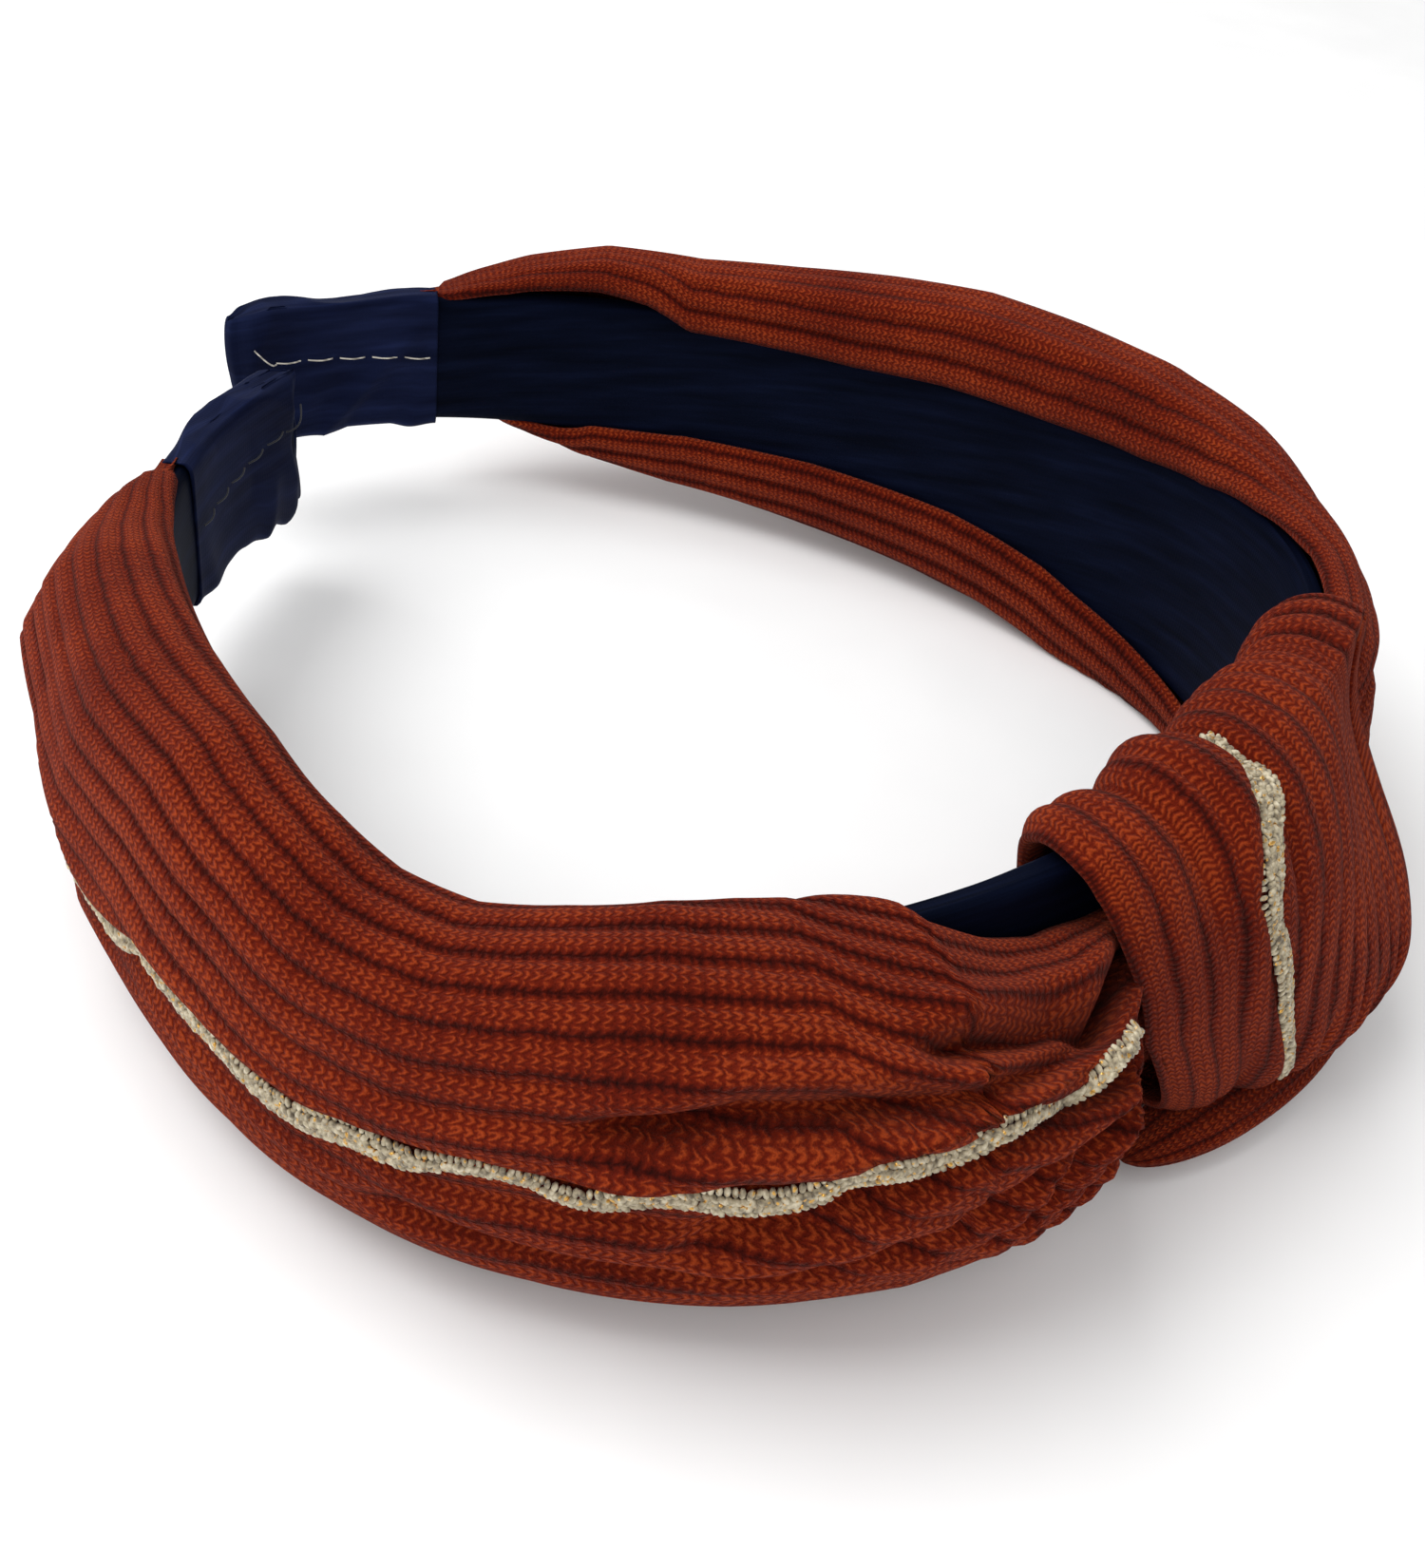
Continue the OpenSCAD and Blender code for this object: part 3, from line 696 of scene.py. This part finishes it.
# %% [markdown]
# ## The knot
# A second strip of knit is wrapped once round the crown, over both wings. It is spread wide over
# the hoop's upper edge and squeezed together underneath, so its ribs fan out, and each ends
# below in a rounded pleat. The outline below is the wrap's outside in (n, z). The share u
# runs across the strip from its left edge to its right.

# %% Wrap outline
WRAP = np.array([(-4.6, -8), (-4.7, 2), (-5, 11), (-4.6, 17.6), (-1, 20.4), (4, 20.2),
                 (9.5, 17.6), (14.6, 12), (18, 5), (19.8, -2.5), (20.2, -9), (18.8, -13.6),
                 (15, -16.4), (9.5, -18.2), (4, -19.2), (-1, -19.4), (-4, -17.5)], float)
# how deep the front is at each share across, as a share of the outline's depth
KNOT_DEPTH = ((0, 0.52), (0.33, 0.76), (0.65, 0.95), (1, 1))


def curve_through(corners, count):
    """A closed smooth curve through corners, with count points at even distances. The last
    point is the first again."""
    a, b, c, d = (np.roll(corners, shift, 0)[:, None] for shift in (1, 0, -1, -2))
    t = np.linspace(0, 1, 24, endpoint=False)[None, :, None]
    line = (2 * b + (c - a) * t + (2 * a - 5 * b + 4 * c - d) * t ** 2
            + (3 * b - a - 3 * c + d) * t ** 3).reshape(-1, 2) / 2
    line = np.concatenate([line, line[:1]])
    way = np.concatenate([[0], np.cumsum(np.hypot(*np.diff(line, axis=0).T))])
    even = np.linspace(0, way[-1], count)
    return np.stack([np.interp(even, way, line[:, i]) for i in (0, 1)], -1), way[-1]


FOOT_RISE = 1.8         # mm by which the wrap's foot is higher at its right edge
CORNER_DROP = 0.15      # share of its height by which the wrap's upper left corner is lower
WRAP_ROWS = 190
wrap_line, wrap_length = curve_through(WRAP, WRAP_ROWS)
wrap_way = np.gradient(wrap_line, axis=0)
wrap_way /= np.linalg.norm(wrap_way, axis=1)[:, None]
wrap_out = np.stack([-wrap_way[:, 1], wrap_way[:, 0]], -1)
print("the wrap goes", round(wrap_length, 1), "mm round the band")


def on_knot(u, row, lift):
    """Points in metres on the wrap: u across it, row along its outline, lift mm off it."""
    row = np.asarray(row)
    line = wrap_line[row] + np.asarray(lift)[..., None] * wrap_out[row]
    n, z = line[..., 0], line[..., 1]
    depth = lookup(KNOT_DEPTH, u) * (1 - 0.95 * smooth((u - 0.35) / 0.65) * smooth((z + 8) / 28))
    n = np.where(n > 4, 4 + (n - 4) * depth, n)
    # both side edges spread upwards
    left, right = -25 - 0.5 * z + 0.24 * np.maximum(z, 0), 13.5 + 0.4 * z
    z = z + FOOT_RISE * u * smooth((-6 - z) / 12)
    z = z * (1 - CORNER_DROP * smooth(z / 12) * smooth((0.3 - u) / 0.24))
    return place(left + (right - left) * u, n, np.maximum(z, TABLE + 0.05))


# %% [markdown]
# ### Pleats on the wrap
# Over the top the strip lies in three broad pleats, and its ribs run on down the front. The
# braid comes out of the step between the second pleat and the third.

# %% Wrap relief and sheet
KNOT_RIBS = 13
KNOT_EAVE = 0.8         # mm
# the shares across at which one pleat ends and the next begins, over the top and at the foot
TOP_PLEATS, TOP_DEPTH = (-0.02, 0.18, 0.385, 0.8, 1.03), 2.6
FOOT_PLEATS, FOOT_DEPTH = (-0.03, 0.27, 0.43, 0.56, 0.68, 0.79, 0.9, 1.03), 3.0
row_z, row_n = wrap_line[:, 1], wrap_line[:, 0]
front = smooth((row_n + 2) / 6)
# the braid's share across at each height
KNOT_BRAID = ((-16, 0.43), (-10, 0.39), (0, 0.338), (12, 0.284), (17, 0.32), (20.4, 0.385))


def lobes(u, edges, power):
    """Rounded lobes between edges, 0 at each edge and 1 between them."""
    which = np.clip(np.searchsorted(edges, u) - 1, 0, len(edges) - 2)
    lower, upper = np.take(edges, which), np.take(edges, which + 1)
    return np.abs(np.sin(np.pi * (u - lower) / (upper - lower))) ** power


def wrap_relief(u):
    """Lift in mm over the whole wrap: arrays [rows, across]."""
    z, n, fore = row_z[:, None], row_n[:, None], front[:, None]
    pitch = 0.55 + 0.45 * smooth((z + 16) / 30)
    sway = 0.02 * np.sin(z / 6 + 4 * u)
    ribs = 0.85 * pitch * rib_height((u + sway) * KNOT_RIBS, 0.6)
    top = smooth((z - 2) / 16)
    broad = (TOP_DEPTH * top * (lobes(u, TOP_PLEATS, 0.55) - 0.7)
             * (1 - 0.6 * smooth((u - 0.72) / 0.1)))
    foot = smooth((-2 - z) / 13) * fore * smooth((z + 18.6) / 2.4)
    pleats = FOOT_DEPTH * foot * (lobes(u, FOOT_PLEATS, 0.6) - 0.55)
    off = (u - lookup(KNOT_BRAID, z)) * 40
    overhang = smooth((-off - 0.6) / 0.8) * smooth((off + 5) / 3)
    step = 0.8 * np.exp(-(off / 1.3) ** 2)
    eave = KNOT_EAVE * fore * smooth((z + 14) / 8) * (overhang - step)
    return ribs + broad + pleats + eave


across_knot = np.linspace(0, 1, KNOT_RIBS * 8 + 1)
rows = np.arange(WRAP_ROWS)
lift = wrap_relief(across_knot[None, :])
points = on_knot(across_knot[None, :], rows[:, None], lift)
cloth = np.stack(np.broadcast_arrays(across_knot[None, :] * KNOT_RIBS,
                                     rows[:, None] * wrap_length / WRAP_ROWS), -1)
# the two side edges roll under like the wings' hems
EDGE_WIDTH = 38.0       # mm across the wrap, which turns the hem's mm into shares
sides = []
for edge, rows_past in ((0, hem(-1)), (1, hem(1))):
    sign = 1 if edge else -1
    sides.append(np.stack([on_knot(edge + sign * a / EDGE_WIDTH, rows, lift[:, -edge] - b)
                           for a, b in rows_past], 1))
side_uv = [cloth[:, :1] + np.array([-0.1, 0]) * np.arange(6, 0, -1)[None, :, None],
           cloth[:, -1:] + np.array([0.1, 0]) * np.arange(1, 7)[None, :, None]]
points = np.concatenate([sides[0], points, sides[1]], 1)
cloth = np.concatenate([side_uv[0], cloth, side_uv[1]], 1)
knot_middle = [place(-25 + 38 * k, 6, 0) for k in np.linspace(0, 1, points.shape[1])]
knot = woven("knot_wrap_knit", points, cloth, knot_middle, thick=0.6, closed=True)
dress(knot, KNIT, "rib_knit", "knot_wrap")
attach(knot, "crown")

# %% [markdown]
# ### The tail under the knot
# The strip's other end comes out below the pleats and lies on its edge, folded flat. It is a
# tapered roll with its ribs running along it.

# %% Tail
TAIL_FROM, TAIL_TO = -23, 14
tail_s = np.linspace(TAIL_FROM, TAIL_TO, 60)
tail_u = (tail_s - TAIL_FROM) / (TAIL_TO - TAIL_FROM)
TAIL_RIBS = 9
round_it = np.linspace(0, 2 * np.pi, 81)[:, None]
tail_ribs = round_it / (2 * np.pi) * TAIL_RIBS
thin = 0.03 + 0.97 * np.sin(np.pi * np.clip(tail_u, 0.002, 0.998)) ** 0.45
ridges = 1 + 0.09 * rib_height(tail_ribs + 0.6 * tail_u)
# it is flattened: wider outwards than it is tall
tail_n = 12.0 + 3.8 * tail_u + 4.6 * thin * ridges * np.cos(round_it)
tail_z = -17.6 + 3.2 * tail_u ** 2 + 1.8 * thin * ridges * np.sin(round_it)
cloth = np.stack(np.broadcast_arrays(tail_ribs, tail_s[None, :]), -1)
tail = woven("knot_tail_knit", place(tail_s, tail_n, np.maximum(tail_z, TABLE + 0.06)),
             cloth, place(tail_s, 15, -18), thick=0.4, closed=True)
dress(tail, KNIT, "rib_knit", "knot_tuck")
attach(tail, "crown")

# %% [markdown]
# ## The braid
# A narrow trim crocheted from metallic yarn: tight rows of loops, with a picot edge of slightly
# longer ones along one side. Each loop is one small bead, flattened and turned a little, set in
# rows on a thin backing strip. Hundreds are needed, so each has only a few faces.

# %% Beaded strip
rng = np.random.default_rng(7)
BEAD = (0.58, 0.34, 0.30)       # mm: half its length, width and height
PICOT = (0.30, 0.62, 0.30)      # the longer loops of the edge, which point outwards
ROW_WIDTH = 0.85                # mm of braid for each row of beads


def beaded(name, centre, along, over, width, pitch=0.62):
    """Rows of beads along a line. centre, along and over are arrays [points, 3]: places in
    metres, the line's direction and the direction off the cloth. width is in mm."""
    bm = bmesh.new()
    bmesh.ops.create_uvsphere(bm, u_segments=7, v_segments=5, radius=1.0)
    bead = bpy.data.meshes.new("bead")
    bm.to_mesh(bead)
    bm.clear()
    ball = np.array([v.co for v in bead.vertices])
    way = np.concatenate([[0], np.cumsum(np.linalg.norm(np.diff(centre, axis=0), axis=1))]) / MM
    for at in np.arange(0.3, way[-1] - 0.3, pitch):
        c, t, o = (np.array([np.interp(at, way, v[:, i]) for i in range(3)])
                   for v in (centre, along, over))
        wide = np.interp(at, way, width)
        t, o = t / np.linalg.norm(t), o / np.linalg.norm(o)
        down = np.cross(t, o)
        down /= np.linalg.norm(down)
        count = max(2, round(wide / ROW_WIDTH))
        for row in range(count + 1):
            picot = row == count
            aside = wide * ((row + 0.5) / (count + 1) - 0.5) + (0.15 if picot else 0)
            shift = (0.5 * pitch if row % 2 else 0) + rng.normal(0, 0.05)
            lift = 0.35 + 0.3 * math.sin(math.pi * (row + 0.5) / (count + 1)) + rng.normal(0, 0.05)
            turn = (0.1 if picot else 0.75 * (-1) ** row) + rng.normal(0, 0.2)
            spot = c + MM * (t * shift + down * aside + o * lift)
            size = np.array(PICOT if picot else BEAD)
            ahead = t * math.cos(turn) + down * math.sin(turn)
            axes = np.stack([ahead, np.cross(o, ahead), o]) * size[:, None] * MM
            # the one bead's mesh is reshaped and copied in, which is quicker than making each
            bead.vertices.foreach_set("co", (ball @ axes + spot).ravel())
            bm.from_mesh(bead)
    bpy.data.meshes.remove(bead)
    return finished(name, bm)


# %% [markdown]
# ### Braid on the wings and the knot
# On a wing the braid lies in the step under the eave and waves a little. On the knot it comes
# out wide over the top edge and narrows downwards as the pleats close over it.

# %% Braids
BRAID_START = {LEFT: 32, RIGHT: 27}     # mm along the hoop, just inside the wrap


def wing_braid_line(side):
    """Centre, direction and outward direction of a wing's braid, and its width in mm."""
    along = side * np.arange(BRAID_START[side], WING_END + 0.4, 0.5)
    places, outs = [], []
    for s in along:
        n, z, angle, dn, dz, girth = section_line(s, ACROSS)
        height, _ = wing_relief(side, s, ACROSS, angle, girth)
        n, z = n - dz * height, z + dn * height
        wave = 0.5 * math.sin(s / 1.7) + 0.35 * math.sin(s / 4.1)
        aim = np.interp(-lookup(BRAID_LINE[side], s), -angle, ACROSS) + wave / girth
        pick = [np.interp(aim, ACROSS, v) for v in (n, z, -dz, dn)]
        places.append((s, pick[0] + 0.25 * pick[2], pick[1] + 0.25 * pick[3]))
        outs.append((s, pick[0] + pick[2], pick[1] + pick[3]))
    centre, out = (place(*np.array(v).T) for v in (places, outs))
    width = 2.3 + 0.7 * np.sin(along / 5.3) + 0.5 * np.sin(along / 2.9)
    width = width * (0.3 + 0.7 * smooth((np.abs(along) - BRAID_START[side]) / 7))
    width = width * (0.3 + 0.7 * smooth((WING_END - np.abs(along)) / 14))
    return centre, np.gradient(centre, axis=0), out - centre, width


for side in (LEFT, RIGHT):
    centre, along, over, width = wing_braid_line(side)
    braid = beaded(f"braid_{NAME[side]}", centre, along, over, width)
    dress(braid, BRAID, "metallic_braid", f"trim_{NAME[side]}")
    bend_with_arm(braid, side)

# the knot's braid runs down the wrap's front, from its top to 13 mm below the middle
first = int(np.argmax(wrap_line[:, 1]))
last = int(np.argmin(np.abs(wrap_line[:, 1] + 13) + 50 * (wrap_line[:, 0] < 10)))
rows = np.arange(first - 3, last)
u = lookup(KNOT_BRAID, wrap_line[rows, 1])
lift = np.array([np.interp(a, across_knot, wrap_relief(across_knot[None, :])[r])
                 for a, r in zip(u, rows)])
centre = on_knot(u, rows, lift + 0.2)
width = np.interp(np.arange(len(rows)), [0, 12, 28, 60, 90], [3.6, 5.2, 3.0, 1.5, 1.2])
braid = beaded("braid_knot", centre, np.gradient(centre, axis=0),
               on_knot(u, rows, lift + 1.2) - centre, width)
dress(braid, BRAID, "metallic_braid", "trim_knot")
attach(braid, "crown")

# %% [markdown]
# ## Satin caps
# The raw end of each tip is covered by a scrap of the same satin, folded over it, gathered at the
# end and stitched inside. It is looser than the sleeve, so it creases. A ridged noise makes
# the creases, and the end is drawn flat with a few puckers. The fold stands up a little at the
# tip, and the left cap's gathered cloth also hangs down there.

# %% Caps
CAP_LENGTH = 27         # mm of the tip that the cap covers
CAP_AROUND = 97
CAP_GAP = 0.75          # mm from the sleeve to the cap
CAP_RISE = {LEFT: 0.3, RIGHT: 1.0}      # mm
CAP_HANG = {LEFT: 2.8, RIGHT: 0.0}      # mm
for side in (LEFT, RIGHT):
    reach = HOOP_LENGTH[side]
    # the mouth's edge is turned in, over the first three columns
    along = np.concatenate([[0.6, 0.0, 0.0], np.linspace(0.3, CAP_LENGTH + 1.6, 60)])
    lifted = np.concatenate([[-0.55, -0.35, 0.0], np.zeros(60)])
    stations = side * (reach - CAP_LENGTH + along)
    n, z = strip_outline(stations, SLEEVE_THICK / 2 + CAP_GAP, -CAP_GAP, 1.0, CAP_AROUND)
    close = smooth((along - CAP_LENGTH + 0.8) / 2.4)
    turn = np.linspace(0, 2 * np.pi, CAP_AROUND)
    ridged = np.empty_like(n)
    for i in range(CAP_AROUND):
        for j, a in enumerate(along):
            spot = Vector((a / 15 + 3 * side, n[i, j] / 5, z[i, j] / 11 + a / 16))
            ridged[i, j] = 1 - 2.4 * abs(noise.noise(spot)) + 0.2 * noise.noise(spot * 3.1)
    loose = smooth(along / 5) * (1 - 0.5 * close)
    pucker = 1.3 * smooth((along - CAP_LENGTH + 6) / 7) * np.sin(3 * turn[:, None] + 1 - side)
    grow = lifted + np.maximum(0.75 * ridged * loose - 0.2, -0.3)
    n = n * (1 - 0.6 * close) + np.sign(n) * grow * (1 - 0.6 * close)
    z = z * (1 - 0.05 * close) + np.sign(z) * np.clip(grow, -0.5, 0.6) * 0.7
    near_tip = smooth((along - 13) / 12)
    z = z + CAP_RISE[side] * near_tip * smooth((z - 2) / 5)
    hang = near_tip * (0.75 + 0.25 * np.cos(1.1 * (along - CAP_LENGTH + 2)))
    z = z - CAP_HANG[side] * hang * smooth((-z - 2) / 5)
    stations = stations[None, :] + side * pucker * 0.5
    cloth = np.stack(np.broadcast_arrays(along, turn[:, None] * 6), -1)
    points = place(stations, n, z)
    # the last column closes the end along the strip's own width
    shut = place(stations[:, -1] + side * 0.4, n[:, -1] * 0.02, z[:, -1] * 0.96)
    points = np.concatenate([points, shut[:, None]], 1)
    cloth = np.concatenate([cloth, cloth[:, -1:] + 0.4], 1)
    middle = list(place(side * (reach - CAP_LENGTH + along), 0, 0))
    cap = woven(f"cap_{NAME[side]}_satin", points, cloth, middle + middle[-1:],
                thick=0.25, closed=True)
    dress(cap, LIT_CAP_SATIN, "satin", f"tip_cap_{NAME[side]}")
    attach(cap, BODY[side])

# %% [markdown]
# ## Stitches
# A running stitch holds each cap's fold on the inside of the band, and its end curls loose.
# Each stitch is a short arc of round thread that dips into the satin at both ends.

# %% Stitches
THREAD_RADIUS = 0.1     # mm
STITCHES, STITCH_PITCH, STITCH_LENGTH = 5, 4.7, 3.6
for side in (LEFT, RIGHT):
    runs = bpy.data.curves.new("thread_run", "CURVE")
    runs.dimensions, runs.bevel_depth, runs.bevel_resolution = "3D", THREAD_RADIUS * MM, 2
    runs.use_fill_caps = True
    first = HOOP_LENGTH[side] - CAP_LENGTH + 1.2
    stitches = []
    for i in range(STITCHES):
        t = np.linspace(0, 1, 9)
        s = first + i * STITCH_PITCH + STITCH_LENGTH * t
        stitches.append((s, -2.55 - 0.45 * np.sin(np.pi * t), 1.1 + 0.08 * (s - first)))
    # the loose end
    t = np.linspace(0, 1, 15)
    stitches.append((first + 22.6 + 3.2 * t, -2.9 - 0.9 * np.sin(np.pi * t),
                     2.9 + 2.6 * t ** 1.6))
    for s, n, z in stitches:
        spline = runs.splines.new("POLY")
        spline.points.add(len(s) - 1)
        for point, spot in zip(spline.points, place(side * s, n, z)):
            point.co = (*spot, 1)
    drawn = bpy.data.objects.new("thread_run", runs)
    bpy.context.collection.objects.link(drawn)
    mesh = bpy.data.meshes.new_from_object(drawn)
    bpy.data.objects.remove(drawn)
    mesh.name = f"stitches_{NAME[side]}"
    mesh.shade_smooth()
    mesh.materials.clear()
    thread = bpy.data.objects.new(mesh.name, mesh)
    bpy.context.collection.objects.link(thread)
    dress(thread, THREAD[side], "sewing_thread", f"cap_stitch_{NAME[side]}")
    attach(thread, BODY[side])

# %% [markdown]
# ## Floor and light
# A wide pale table, a large softbox above and behind, a weaker one at the left, and an even
# white room that fills the shadows.

# %% Floor and light
bm = bmesh.new()
bmesh.ops.create_grid(bm, x_segments=1, y_segments=1, size=3)
bmesh.ops.translate(bm, verts=bm.verts, vec=(0, 0, -0.0003))     # just clear of the knit
floor = finished("floor", bm)
paint, tree, surface = new_material("matt white table", **{"Roughness": 0.8})
grain = add(tree, "ShaderNodeTexNoise", {
    "Vector": add(tree, "ShaderNodeTexCoord").outputs["Object"], "Scale": 40.0})
tone = ramp(tree, grain, (0.3, "#F6F6F6"), (0.7, "#FAFAFA"))
tree.links.new(tone.outputs[0], surface.inputs["Base Color"])
floor.data.materials.append(paint)

# name, place and size in metres, power in watts
LIGHTS = (("softbox above", (-0.25, 0.35, 0.75), 0.7, 6.0),
          ("softbox left", (-0.75, -0.25, 0.45), 0.5, 1.6))
ROOM_LIGHT = 0.66
for name, spot, size, power in LIGHTS:
    lamp = bpy.data.lights.new(name, "AREA")
    lamp.shape, lamp.size, lamp.energy = "SQUARE", size, power
    holder = bpy.data.objects.new(name, lamp)
    holder.location = spot
    holder.rotation_euler = (-Vector(spot)).to_track_quat("-Z", "Y").to_euler()
    bpy.context.collection.objects.link(holder)

scene = bpy.context.scene
scene.world = scene.world or bpy.data.worlds.new("room")
scene.world.use_nodes = True
scene.world.node_tree.nodes.clear()
glow = add(scene.world.node_tree, "ShaderNodeBackground",
           {"Color": linear("#FFFFFF"), "Strength": ROOM_LIGHT})
add(scene.world.node_tree, "ShaderNodeOutputWorld", {"Surface": glow})
scene.view_settings.view_transform = "Standard"
